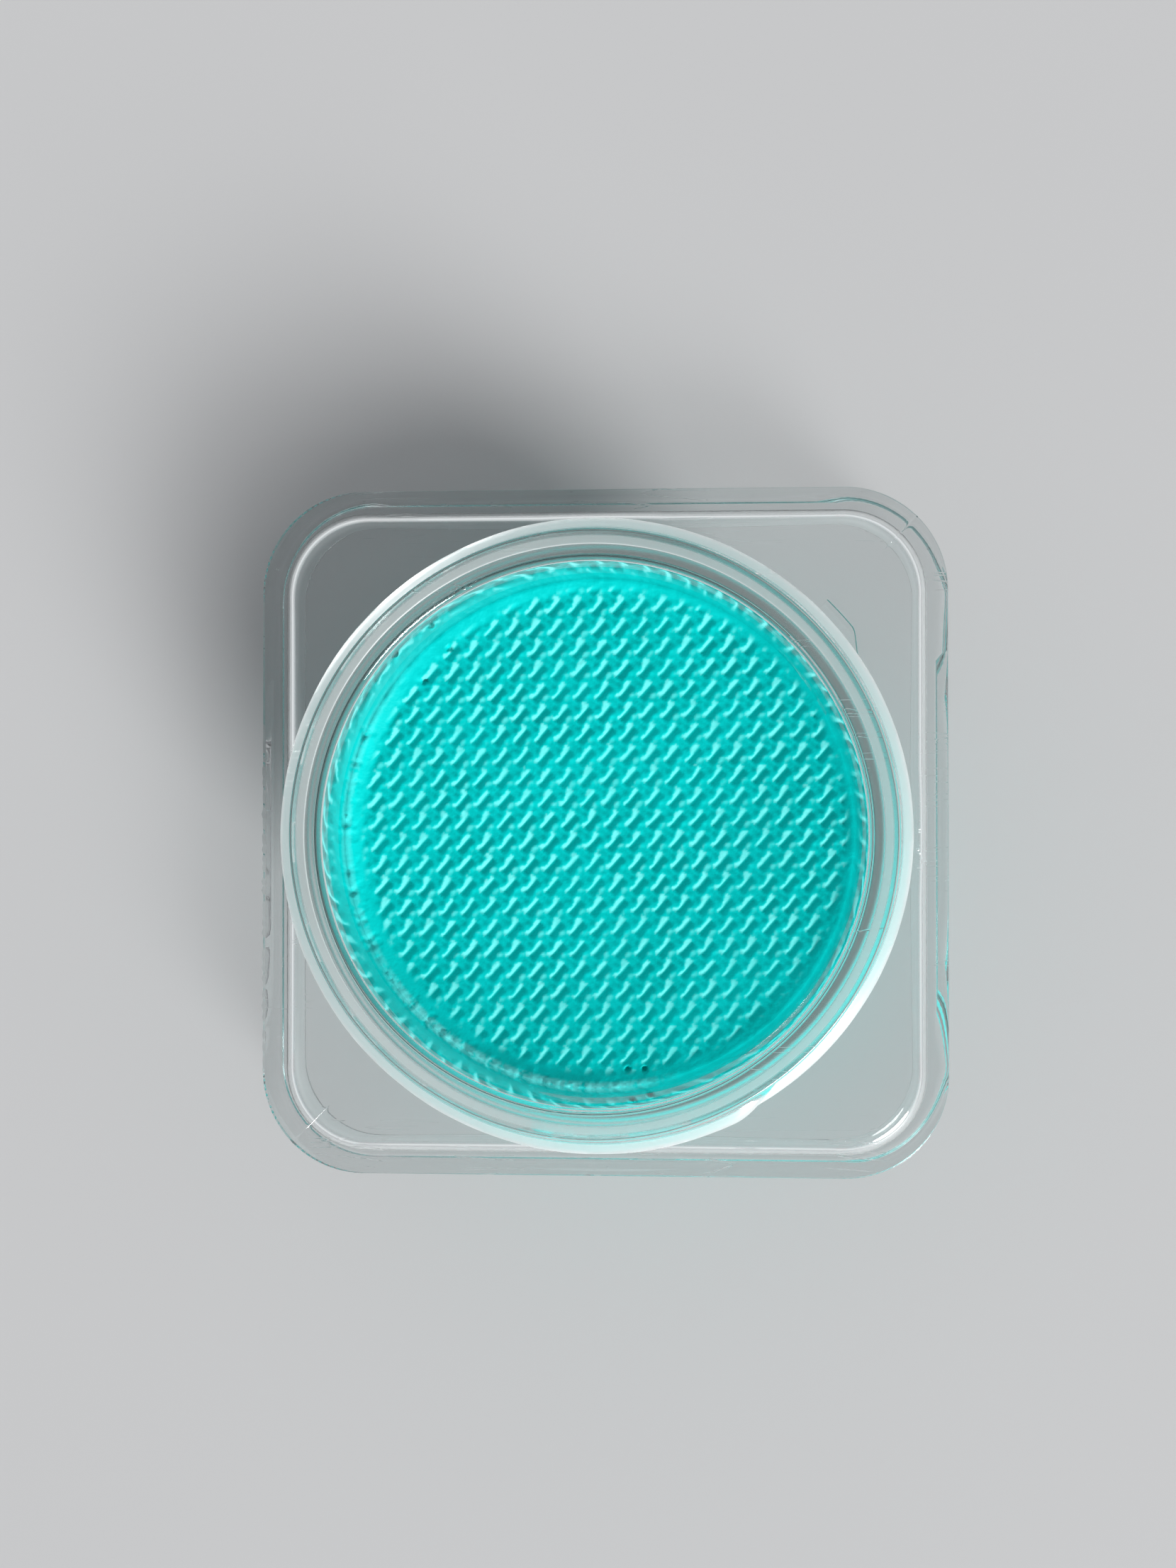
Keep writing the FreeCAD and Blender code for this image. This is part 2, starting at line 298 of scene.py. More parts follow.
@dataclass(frozen=True)
class ClearPlastic:
    """Polished clear moulding with faint scuffs, a mirror in the bare cup, and a pale matt layer on the lip,
    neck, ridge and skirt that is partly worn frosting and partly painted light carried inside the plastic.
    """

    tint: Colour = (0.955, 0.985, 0.985)
    refraction: float = 1.59
    polish: float = 0.015
    scuffed: float = 0.16
    scuff_strength: float = 0.35
    scuff_depth: float = 0.02 * MM
    lamp_pass: float = 0.91
    # Roughness of the worn parts of the plastic that also carry painted light.
    rubbed: float = 0.3
    # Pale matt layer, partly worn frosting and partly painted light carried inside the plastic.
    haze: float = 0.38
    haze_tone: Colour = (0.86, 0.9, 0.89)
    fade: float = 0.1 * MM
    short_fade: float = 0.05 * MM
    wall_mirror: float = 0.7
    wall_radius: float = 11.22 * MM
    wall_levels: Pair = (8.0 * MM, 12.1 * MM)
    lip_level: float = 12.2 * MM
    lip_rub: Triple = (11.32 * MM, 11.72 * MM, 12.15 * MM)
    lip_shares: Triple = (0.5, 1.05, 0.4)
    neck_radius: float = 12.3 * MM
    neck_share: float = 0.25
    ridge_radius: float = 12.7 * MM
    ridge_level: float = 8.2 * MM
    skirt_half: float = 15.0 * MM
    skirt_corner: float = 4.5 * MM
    skirt_inset: Pair = (0.6 * MM, 1.05 * MM)
    skirt_level: float = 4.4 * MM
    skirt_share: float = 0.35
    scratch_turns_seeds: tuple[Pair, ...] = ((0.6, 1.0), (-0.9, 6.0))
    scratch_scale: Triple = (70.0, 1100.0, 300.0)
    scratch_width: float = 0.006
    scratch_patch: Pair = (0.55, 0.9)
    scratch_facing: Pair = (0.6, 0.9)

    def material(self) -> Material:
        """Builds the finish.

        Returns:
            The material.
        """
        material, graph, shader, output = new_material("clear_plastic")
        shader.inputs["Base Color"].default_value = (*self.tint, 1.0)
        shader.inputs["IOR"].default_value = self.refraction
        shader.inputs["Transmission Weight"].default_value = 1.0
        wall, rub_and_painted_light = self.zones(graph)
        cloud, fleck = MottleGroup().place(
            graph, cloud_size=3.5 * MM, fleck_spacing=1.6 * MM, fleck_radius=0.07 * MM, fleck_share=0.16
        )
        worn = graph.most(self.scratches(graph, cloud), fleck)
        rough = graph.eased(worn, 0.0, 1.0, self.polish, self.scuffed)
        graph.feed(shader.inputs["Roughness"], graph.most(rough, graph.product(rub_and_painted_light, self.rubbed)))
        graph.roughen(shader, worn, self.scuff_strength, self.scuff_depth)
        gloss = {"Color": (*self.tint, 1.0), "Roughness": self.polish}
        mirror = graph.node("ShaderNodeBsdfAnisotropic", gloss)
        skin = graph.mixed(graph.product(wall, self.wall_mirror), shader, mirror)
        # The pale matt layer is partly worn frosting and partly painted light carried inside the plastic.
        matt = graph.node("ShaderNodeBsdfDiffuse", {"Color": (*self.haze_tone, 1.0)})
        hazed_and_painted_light = graph.mixed(graph.product(rub_and_painted_light, self.haze), skin, matt)
        clear = graph.node("ShaderNodeBsdfTransparent", {"Color": (*[self.lamp_pass] * 3, 1.0)})
        ray = graph.node("ShaderNodeLightPath").outputs
        shown = graph.mixed(graph.most(ray["Is Shadow Ray"], ray["Is Diffuse Ray"]), hazed_and_painted_light, clear)
        graph.feed(output.inputs["Surface"], shown.outputs[0])
        return material

    def zones(self, graph: Graph) -> tuple[NodeSocket, NodeSocket]:
        """Finds the cup's bare wall, which mirrors, and the hazy parts: lip, neck, ridge and skirt, whose
        pale matt layer is partly worn frosting and partly painted light carried inside the plastic.

        Args:
            graph: the material's graph.

        Returns:
            Sockets of the wall's mask and of the hazy parts' mask.
        """
        x, y, z = graph.split(graph.coordinates())
        out = graph.measured("LENGTH", graph.joined(x, y, 0.0))
        low, high = self.wall_levels
        wall = graph.product(
            graph.eased(z, low, low + self.fade),
            graph.eased(z, high - self.fade, high, 1.0, 0.0),
            graph.math("LESS_THAN", out, self.wall_radius),
        )
        inner, middle, outer = self.lip_rub
        inner_share, middle_share, outer_share = self.lip_shares
        lip = graph.product(
            graph.eased(out, middle, middle + self.short_fade, inner_share, middle_share),
            graph.eased(out, inner, inner + self.short_fade),
            graph.eased(out, outer - self.fade, outer, 1.0, outer_share),
            graph.math("GREATER_THAN", z, self.lip_level),
        )
        ridge = graph.product(
            graph.eased(out, self.ridge_radius - self.fade, self.ridge_radius, self.neck_share, 1.0),
            graph.math("GREATER_THAN", out, self.neck_radius),
            graph.math("GREATER_THAN", z, self.ridge_level),
        )
        # The skirt's pale band is painted light only.
        return wall, graph.most(lip, ridge, graph.product(self.skirt(graph, x, y, z), self.skirt_share))

    def skirt(self, graph: Graph, x: NodeSocket, y: NodeSocket, z: NodeSocket) -> NodeSocket:
        """Finds the inner face of the skirt, where a pale matt layer is painted in for the light carried
        inside the plastic.

        Args:
            graph: the material's graph.
            x: place along the first side.
            y: place along the second side.
            z: level.

        Returns:
            Socket of the mask.
        """
        straight = self.skirt_half - self.skirt_corner
        past = [graph.minus(graph.math("ABSOLUTE", part), straight) for part in (x, y)]
        corner = graph.measured("LENGTH", graph.joined(*(graph.most(part, 0.0) for part in past), 0.0))
        side = graph.math("MINIMUM", graph.most(*past), 0.0)
        inset = graph.minus(self.skirt_corner, graph.math("ADD", corner, side))
        low, high = self.skirt_inset
        return graph.product(
            graph.math("GREATER_THAN", inset, low),
            graph.math("LESS_THAN", inset, high),
            graph.math("LESS_THAN", z, self.skirt_level),
        )

    def scratches(self, graph: Graph, patches: NodeSocket) -> NodeSocket:
        """Draws hairline scratches in two directions, only on upward faces where a patch is worn.

        Args:
            graph: the material's graph.
            patches: mask of the worn patches.

        Returns:
            Socket of the scratches' mask.
        """
        lines = []
        for turn, seed in self.scratch_turns_seeds:
            turned = {"Rotation": (0.0, 0.0, turn), "Scale": self.scratch_scale}
            place = graph.node("ShaderNodeMapping", {"Vector": graph.coordinates()} | turned).outputs[0]
            field = graph.noise(place, 1.0, 1.0, seed)
            off = graph.math("ABSOLUTE", graph.minus(field, 0.5))
            lines.append(graph.eased(off, 0.0, self.scratch_width, 1.0, 0.0))
        facing = graph.split(graph.coordinates("Normal"))[2]
        upward = graph.eased(facing, *self.scratch_facing)
        patches = graph.product(graph.eased(patches, *self.scratch_patch), upward)
        return graph.product(graph.most(*lines), patches)


@dataclass(frozen=True)
class PressedPigment:
    """Satin pressed pigment, darker where shade is painted into the print's dents and paler where a highlight
    is painted on the lit flanks of its marks and along its edge.
    """

    face: Colour = (0.0, 0.63, 0.6)
    # Painted shade: the darker colour laid toward the bottom of the print's dents.
    deep: Colour = (0.0, 0.51, 0.485)
    pale: Colour = (0.0, 0.71, 0.69)
    # Painted highlight: the paler colour laid on the lit flanks of the print's marks and along the cake's
    # edge.
    rubbed: Colour = (0.14, 0.80, 0.78)
    sheen: float = 0.05
    cloud_tones: Range = (0.0, 1.0, 0.0, 0.55)
    cloud_roughness: Range = (0.0, 1.0, 0.4, 0.52)
    deep_tones: Range = (0.25, 1.0, 0.0, 0.8)
    fleck_tone: float = 0.35
    grain_size: float = 0.11 * MM
    grain_detail: float = 3.0
    grain_seed: float = 2.0
    grain_strength: float = 0.5
    grain_depth: float = 0.03 * MM

    def material(self) -> Material:
        """Builds the finish.

        Returns:
            The material.
        """
        material, graph, shader, _ = new_material("teal_pigment")
        shader.inputs["Specular IOR Level"].default_value = self.sheen
        cloud, fleck = MottleGroup().place(
            graph, cloud_size=1.3 * MM, fleck_spacing=0.42 * MM, fleck_radius=0.05 * MM, fleck_share=0.25
        )
        press, flank = (
            graph.node("ShaderNodeAttribute", attribute_name=name).outputs["Fac"]
            for name in (WovenPrint.DEPTH_NAME, WovenPrint.FLANK_NAME)
        )
        tone = graph.blended(graph.eased(cloud, *self.cloud_tones), self.face, self.pale)
        # Painted shade, darker toward the bottom of each dent.
        tone = graph.blended(graph.eased(press, *self.deep_tones), tone, self.deep)
        tone = graph.blended(graph.product(fleck, self.fleck_tone), tone, self.pale)
        # Painted highlight on the marks' lit flanks and along the edge.
        graph.feed(shader.inputs["Base Color"], graph.blended(flank, tone, self.rubbed))
        graph.feed(shader.inputs["Roughness"], graph.eased(cloud, *self.cloud_roughness))
        grain = graph.noise(graph.coordinates(), 1.0 / self.grain_size, self.grain_detail, self.grain_seed)
        graph.roughen(shader, grain, self.grain_strength, self.grain_depth)
        return material


@dataclass(frozen=True)
class PaleFloor:
    """Matt pale table top."""

    colour: Colour = (0.62, 0.62, 0.62)
    darker_share: float = 0.985
    roughness: float = 0.7

    def material(self) -> Material:
        """Builds the finish.

        Returns:
            The material.
        """
        material, graph, shader, _ = new_material("pale_floor")
        shader.inputs["Roughness"].default_value = self.roughness
        cloud, _ = MottleGroup().place(graph, cloud_size=60.0 * MM)
        darker = tuple(self.darker_share * part for part in self.colour)
        graph.feed(shader.inputs["Base Color"], graph.blended(cloud, self.colour, darker))
        return material


@dataclass(frozen=True)
class Corner:
    """A corner of a turned section, with its rounding.

    Radius, level and rounding are each one value for the whole turn or one for each angle. The rounding is
    drawn with a number of points, and the straight run that leads to it is divided into a number of parts.
    """

    LEAST_TANGENT = 0.02 * MM
    TANGENT_SHARE = 0.45

    name: str
    radius: Sizes
    level: Sizes
    rounding: Sizes = 0.0
    steps: int = 1
    run: int = 1

    def spots(self, count: int) -> np.ndarray:
        """Gives the corner's radius and level at each of a number of angles."""
        return np.stack([np.broadcast_to(value, count) for value in (self.radius, self.level)], axis=1)

    def arc(self, before: np.ndarray, spot: np.ndarray, after: np.ndarray) -> list[np.ndarray]:
        """Draws the rounding, from the run before the corner to the run after it.

        Args:
            before: the corner before, at each angle.
            spot: this corner.
            after: the corner after.

        Returns:
            The rounding's points in order.
        """
        if self.steps == 1:
            return [spot]
        back, ahead = before - spot, after - spot
        back_length, ahead_length = (np.linalg.norm(way, axis=1, keepdims=True) for way in (back, ahead))
        back, ahead = back / back_length, ahead / ahead_length
        half = np.arccos(np.clip((back * ahead).sum(axis=1, keepdims=True), -1.0, 1.0)) / 2
        wanted = np.broadcast_to(self.rounding, len(spot))[:, None] / np.tan(half)
        longest = self.TANGENT_SHARE * np.minimum(back_length, ahead_length)
        tangent = np.clip(wanted, self.LEAST_TANGENT, longest)
        start, end = spot + back * tangent, spot + ahead * tangent
        points = []
        for part in np.linspace(0.0, 1.0, self.steps):
            weights = (1 - part) ** 2, 2 * part * (1 - part) * np.sin(half), part**2
            points.append((weights[0] * start + weights[1] * spot + weights[2] * end) / sum(weights))
        return points


def rounded_path(corners: Sequence[Corner], count: int) -> tuple[np.ndarray, dict[str, slice]]:
    """Draws a section through its corners at each angle.

    Args:
        corners: the corners in order.
        count: number of angles.

    Returns:
        Radius and level by angle and station, and the stations of each corner with the run that leads to it.
    """
    spots = [corner.spots(count) for corner in corners]
    stations = [spots[0]]
    found = {}
    for index, corner in enumerate(corners[1:], start=1):
        last = index == len(corners) - 1
        arc = [spots[index]] if last else corner.arc(spots[index - 1], spots[index], spots[index + 1])
        origin, first = stations[-1], len(stations)
        stations += [origin + (arc[0] - origin) * part / corner.run for part in range(1, corner.run)]
        stations += arc
        found[corner.name] = slice(first, len(stations))
    return np.stack(stations, axis=1), found


def mesh_object(name: str, vertices: np.ndarray, faces: list[list[int]], sharp: float = 30.0) -> Object:
    """Makes a smooth-shaded object with sharp creases.

    Args:
        name: the object's name.
        vertices: their places.
        faces: vertex numbers of each face.
        sharp: angle in degrees past which an edge is a crease.

    Returns:
        The object, in the scene.
    """
    mesh = bpy.data.meshes.new(name)
    mesh.from_pydata(vertices.tolist(), [], faces)
    mesh.shade_smooth()
    mesh.set_sharp_from_angle(angle=math.radians(sharp))
    made = bpy.data.objects.new(name, mesh)
    bpy.context.scene.collection.objects.link(made)
    return made


def smooth_step(value: np.ndarray) -> np.ndarray:
    """Eases a value from 0 to 1, held at both ends."""
    held = np.clip(value, 0.0, 1.0)
    return held * held * (3 - 2 * held)


@dataclass(frozen=True)
class CupWall:
    """Inside of the cup: upright below the cake's level and flared from there to the lip."""

    lip_level: float
    floor_level: float
    lip_radius: float = 11.1 * MM
    waist_radius: float = 10.76 * MM
    waist_level: float = 8.0 * MM
    floor_radius: float = 10.5 * MM

    def radius(self, level: float) -> float:
        """Gives the wall's radius at a level."""
        levels = self.floor_level, self.waist_level, self.lip_level
        return float(np.interp(level, levels, (self.floor_radius, self.waist_radius, self.lip_radius)))


@dataclass(frozen=True)
class ScrewRidge:
    """Screw ridge of about one turn round the neck."""

    start: float = math.radians(-50.0)
    turns: float = 1.15
    pitch: float = 1.6 * MM
    drop: float = 1.25 * MM
    crest: float = 0.7 * MM
    crest_half: float = 0.12 * MM
    flank: float = 0.42 * MM
    run_out: float = math.radians(14.0)

    def height(self, angles: np.ndarray, levels: np.ndarray, lip_level: float) -> np.ndarray:
        """Measures how far the ridge stands out from the neck.

        Args:
            angles: angle of each point.
            levels: level of each point.
            lip_level: the lip's level, which the ridge is measured down from.

        Returns:
            The ridge's height at each point.
        """
        first_turn = np.mod(self.start - angles, WHOLE_TURN)
        tallest = np.zeros_like(levels)
        for wound in (first_turn, first_turn + WHOLE_TURN):
            middle = lip_level - self.drop - self.pitch * wound / WHOLE_TURN
            left = self.turns * WHOLE_TURN - wound
            full = smooth_step(wound / self.run_out) * smooth_step(left / self.run_out)
            side = 1 - (np.abs(levels - middle) - self.crest_half) / self.flank
            tallest = np.maximum(tallest, self.crest * full * smooth_step(side))
        return tallest


@dataclass(frozen=True)
class StopLug:
    """Lug at the neck's root, with one square face and one ramp."""

    PARALLEL = 1e-9

    neck_radius: float
    reach: float = 1.5 * MM
    height: float = 1.75 * MM
    face: float = math.radians(45.6)
    land: float = math.radians(7.0)
    ramp: float = math.radians(15.0)
    least: float = 0.25 * MM
    edge: float = 0.12 * MM

    def outline(self, angles: np.ndarray) -> np.ndarray:
        """Draws the lug in plan.

        Args:
            angles: angles from +X.

        Returns:
            The lug's radius at each angle, or the neck's where there is no lug.
        """
        tip = self.neck_radius + self.reach
        land_end, ramp_end = self.face - self.land, self.face - self.land - self.ramp
        high = np.array([math.cos(land_end), math.sin(land_end)]) * tip
        low = np.array([math.cos(ramp_end), math.sin(ramp_end)]) * self.neck_radius
        along = low - high
        swing = np.cos(angles) * along[1] - np.sin(angles) * along[0]
        swing = np.where(np.abs(swing) < self.PARALLEL, self.PARALLEL, swing)
        on_ramp = (high[0] * along[1] - high[1] * along[0]) / swing
        radius = np.where(angles >= land_end, tip, on_ramp)
        inside = (angles <= self.face) & (angles >= ramp_end)
        return np.where(inside, radius, self.neck_radius)

    def present(self, angles: np.ndarray) -> np.ndarray:
        """Tells at which angles the lug stands clear of the neck."""
        return self.outline(angles) > self.neck_radius + self.least


@dataclass(frozen=True)
class PartingLine:
    """Hairline where the halves of the mould met, across two corners of the deck."""

    SAME_ANGLE = 1e-6

    angles: Pair = (math.radians(45.0), math.radians(225.0))
    half_width: float = 0.045 * MM
    height: float = 0.035 * MM

    def samples(self, reach: float) -> np.ndarray:
        """Gives the angles at which the hairline is drawn, if its width is measured at a radius."""
        half = self.half_width / reach
        return np.concatenate([[angle - half, angle, angle + half] for angle in self.angles])

    def lift(self, angles: np.ndarray) -> np.ndarray:
        """Gives the hairline's height at each angle."""
        on_line = np.min([np.abs(angles - angle) for angle in self.angles], axis=0) < self.SAME_ANGLE
        return np.where(on_line, self.height, 0.0)


@dataclass
class MouldedPot:
    """The clear moulding: skirt, deck, neck and cup in one closed skin."""

    side: float
    lip_level: float
    neck_radius: float
    cup: CupWall
    cup_outer_slope: float = math.tan(math.radians(1.5))
    lip_inner_round: float = 0.4 * MM
    lip_step_radius: float = 11.75 * MM
    lip_step: float = 0.03 * MM
    lip_step_round: float = 0.03 * MM
    lip_outer_round: float = 0.15 * MM
    root_flare: float = 0.15 * MM
    root_round: float = 0.3 * MM
    shelf_reach: float = 0.45 * MM
    shelf_foot_reach: float = 0.9 * MM
    lug_gap: float = 0.35 * MM
    deck_level: float = 5.7 * MM
    deck_underside: float = 4.6 * MM
    foot_gap: float = 0.5 * MM
    floor_round: float = 0.8 * MM
    heel_round: float = 1.2 * MM
    corner_round: float = 4.5 * MM
    foot_wall: float = 0.6 * MM
    skirt_slope: float = math.tan(math.radians(1.5))
    skirt_inner_slope: float = math.tan(math.radians(1.0))
    under_round: float = 0.5 * MM
    skirt_round: float = 0.95 * MM
    foot_round: float = 0.12 * MM
    deck_edge_round: float = 0.05 * MM
    dimple_radius: float = 2.2 * MM
    dimple_depth: float = 0.3 * MM
    dimple_round: float = 0.08 * MM
    dimple_draft: float = 0.1 * MM
    stub_radius: float = 0.6 * MM
    stub_height: float = 0.2 * MM
    stub_round: float = 0.05 * MM
    stub_draft: float = 0.03 * MM
    burr: float = 0.07 * MM
    burr_middle: float = math.radians(190.0)
    burr_half: float = math.radians(32.0)
    burr_seed: int = 7
    burr_waves: int = 6
    burr_counts: tuple[int, int] = (60, 220)
    burr_fade: float = 1.6
    burr_base: float = 0.25
    burr_gain: float = 1.6
    divisions: int = 480
    face_gap: float = math.radians(0.03)
    parting_reach: float = 0.6
    least_gap: float = math.radians(0.2)
    crease: float = 40.0

    @classmethod
    def from_frame(cls, record: dict[str, Any]) -> MouldedPot:
        """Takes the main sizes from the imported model.

        Args:
            record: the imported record.

        Returns:
            The pot.
        """
        low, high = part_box(Piece.MOULDED_POT.value)
        cake_low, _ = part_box(Piece.PRESSED_CAKE.value)
        neck = next(mount for mount in record["mounts"] if mount["name"] == "neck")
        return cls(
            side=high.x - low.x,
            lip_level=high.z,
            neck_radius=neck["dims"]["r_mm"] * MM,
            cup=CupWall(high.z, cake_low.z),
        )

    def square(self, angles: np.ndarray, inset: float) -> np.ndarray:
        """Draws the square with rounded corners in plan.

        Args:
            angles: angles from +X.
            inset: how far the outline is drawn in.

        Returns:
            The outline's distance from the axis at each angle.
        """
        half, rounding = self.side / 2 - inset, self.corner_round - inset
        across, along = np.abs(np.cos(angles)), np.abs(np.sin(angles))
        most, least = np.maximum(across, along), np.minimum(across, along)
        flat = half - rounding
        on_side = half / most
        reach = flat * (most + least)
        on_corner = reach + np.sqrt(np.maximum(reach**2 - 2 * flat**2 + rounding**2, 0.0))
        return np.where(on_side * least <= flat, on_side, on_corner)

    def angles(self, lug: StopLug, parting: PartingLine) -> np.ndarray:
        """Picks the angles of the skin's sections.

        Args:
            lug: the stop lug, whose square face needs two sections side by side.
            parting: the parting line, which needs narrow sections of its own.

        Returns:
            The angles in order, from 0 to a whole turn.
        """
        even = np.linspace(0.0, WHOLE_TURN, self.divisions, endpoint=False)
        face = np.array([lug.face, lug.face + self.face_gap])
        special = np.concatenate([face, parting.samples(self.parting_reach * self.side)])
        apart = np.abs(even[:, None] - special[None, :]).min(axis=1)
        return np.sort(np.concatenate([even[apart > self.least_gap], special]))

    def edge_burr(self, angles: np.ndarray) -> np.ndarray:
        """Gives the ragged flash along one side of the deck's edge.

        Args:
            angles: angles from +X.

        Returns:
            How far the edge stands out at each angle.
        """
        draw = np.random.default_rng(self.burr_seed)
        ragged = np.zeros_like(angles)
        for _ in range(self.burr_waves):
            count = int(draw.integers(*self.burr_counts))
            ragged += np.sin(count * angles + draw.uniform(0, WHOLE_TURN)) / self.burr_waves
        away = np.abs(angles - self.burr_middle)
        near = smooth_step(self.burr_fade - self.burr_fade * away / self.burr_half)
        return self.burr * near * np.clip(self.burr_base + self.burr_gain * ragged, 0.0, 1.0)

    def corners(self, angles: np.ndarray, lug: StopLug) -> list[Corner]:
        """Lists the section's corners, from the middle of the cup's floor to the middle of its underside.

        Args:
            angles: the sections' angles.
            lug: the stop lug.

        Returns:
            The corners in order.
        """
        has_lug, lug_outline = lug.present(angles), lug.outline(angles)
        lip, deck, under, gap = self.lip_level, self.deck_level, self.deck_underside, self.foot_gap
        low_lip = lip - self.lip_step
        plain_root = self.neck_radius + self.root_flare
        root = np.where(has_lug, self.neck_radius, plain_root)
        lug_top = deck + lug.height
        shelf_level = np.where(has_lug, lug_top, deck)
        root_round = np.where(has_lug, lug.edge, self.root_round)
        shelf = np.where(has_lug, lug_outline, plain_root + self.shelf_reach)
        shelf_foot = np.where(has_lug, lug_outline, plain_root + self.shelf_foot_reach)
        edge = self.square(angles, 0.0)
        foot_inset = deck * self.skirt_slope
        inner_inset = foot_inset + self.foot_wall
        foot, foot_inside, skirt_inside = (
            self.square(angles, inset)
            for inset in (foot_inset, inner_inset, inner_inset + under * self.skirt_inner_slope)
        )
        cup_top, heel = (self.neck_radius - (deck - level) * self.cup_outer_slope for level in (under, gap))
        dimple = gap + self.dimple_depth
        dimple_roof, stub_end = self.dimple_radius - self.dimple_draft, self.stub_radius - self.stub_draft
        stub = dimple - self.stub_height
        return [
            Corner("middle", 0.0, self.cup.floor_level),
            Corner("floor", self.cup.floor_radius, self.cup.floor_level, self.floor_round, steps=8, run=3),
            Corner("waist", self.cup.waist_radius, self.cup.waist_level, run=3),
            Corner("wall", self.cup.lip_radius, low_lip, self.lip_inner_round, steps=12, run=6),
            Corner("lip_step", self.lip_step_radius, low_lip, self.lip_step_round, steps=3),
            Corner("lip_land", self.lip_step_radius + self.lip_step, lip, self.lip_step_round, steps=3),
            Corner("lip", self.neck_radius, lip, self.lip_outer_round, steps=5, run=2),
            Corner("neck", self.neck_radius, lug_top + self.lug_gap, run=52),
            Corner("root", root, shelf_level, root_round, steps=5, run=4),
            Corner("shelf", shelf, shelf_level, lug.edge, steps=4),
            Corner("shelf_foot", shelf_foot, deck, lug.edge, steps=4),
            Corner("deck", (shelf_foot + edge) / 2, deck, run=2),
            Corner("edge", edge, deck, self.deck_edge_round, steps=3, run=3),
            Corner("foot", foot, 0.0, self.foot_round, steps=4, run=5),
            Corner("foot_inside", foot_inside, 0.0, self.foot_round, steps=4),
            Corner("skirt_inside", skirt_inside, under, self.skirt_round, steps=12, run=5),
            Corner("under_deck", cup_top, under, self.under_round, steps=7, run=2),
            Corner("heel", heel, gap, self.heel_round, steps=9, run=4),
            Corner("dimple", self.dimple_radius, gap, self.dimple_round, steps=3, run=3),
            Corner("dimple_roof", dimple_roof, dimple, self.dimple_round, steps=3),
            Corner("stub_root", self.stub_radius, dimple, self.stub_round, steps=3),
            Corner("stub", stub_end, stub, self.stub_round, steps=3),
            Corner("gate", 0.0, stub),
        ]

    def build(self, finish: Material) -> Object:
        """Makes the skin and dresses it.

        Args:
            finish: the clear plastic.

        Returns:
            The pot.
        """
        lug, parting = StopLug(self.neck_radius), PartingLine()
        angles = self.angles(lug, parting)
        sections, found = rounded_path(self.corners(angles, lug), len(angles))
        wall = sections[:, found["neck"]]
        turned = np.broadcast_to(angles[:, None], wall.shape[:2])
        wall[..., 0] += ScrewRidge().height(turned, wall[..., 1], self.lip_level)
        edge = sections[:, found["edge"]]
        edge[..., 1] += parting.lift(angles)[:, None]
        # The burr stands on the outer two points of the edge's rounding.
        edge[:, -2:, 0] += self.edge_burr(angles)[:, None]
        made = self.skin(sections, angles)
        made.data.materials.append(finish)
        return made

    def skin(self, sections: np.ndarray, angles: np.ndarray) -> Object:
        """Joins the sections into a closed mesh.

        Args:
            sections: radius and level by angle and station, with both ends on the axis.
            angles: the sections' angles.

        Returns:
            The mesh's object.
        """
        radii, levels = sections[:, 1:-1, 0], sections[:, 1:-1, 1]
        across, along = np.cos(angles)[:, None], np.sin(angles)[:, None]
        rings = np.stack([radii * across, radii * along, levels], axis=-1).reshape(-1, 3)
        top, bottom = len(rings), len(rings) + 1
        ends = [[0.0, 0.0, sections[0, 0, 1]], [0.0, 0.0, sections[0, -1, 1]]]
        here = np.arange(len(rings)).reshape(radii.shape)
        there = np.roll(here, -1, axis=0)
        quads = np.stack([here[:, :-1], here[:, 1:], there[:, 1:], there[:, :-1]], axis=-1).reshape(-1, 4)
        faces = quads.tolist()
        faces += [[top, a, b] for a, b in zip(here[:, 0].tolist(), there[:, 0].tolist())]
        faces += [[a, bottom, b] for a, b in zip(here[:, -1].tolist(), there[:, -1].tolist())]
        return mesh_object("moulded_pot", np.concatenate([rings, ends]), faces, self.crease)


class Thread(Enum):
    """The two sets of threads that leave marks, by how they run over the cake."""

    RISING = "Rising"
    FALLING = "Falling"


@dataclass(frozen=True)
class ThreadMark:
    """Dent that one float of a thread leaves, with a steep and a gentle side and a waist."""

    half_length: float
    end: float
    steep_side: float
    gentle_side: float
    depth: float
    waist: float = 1.0


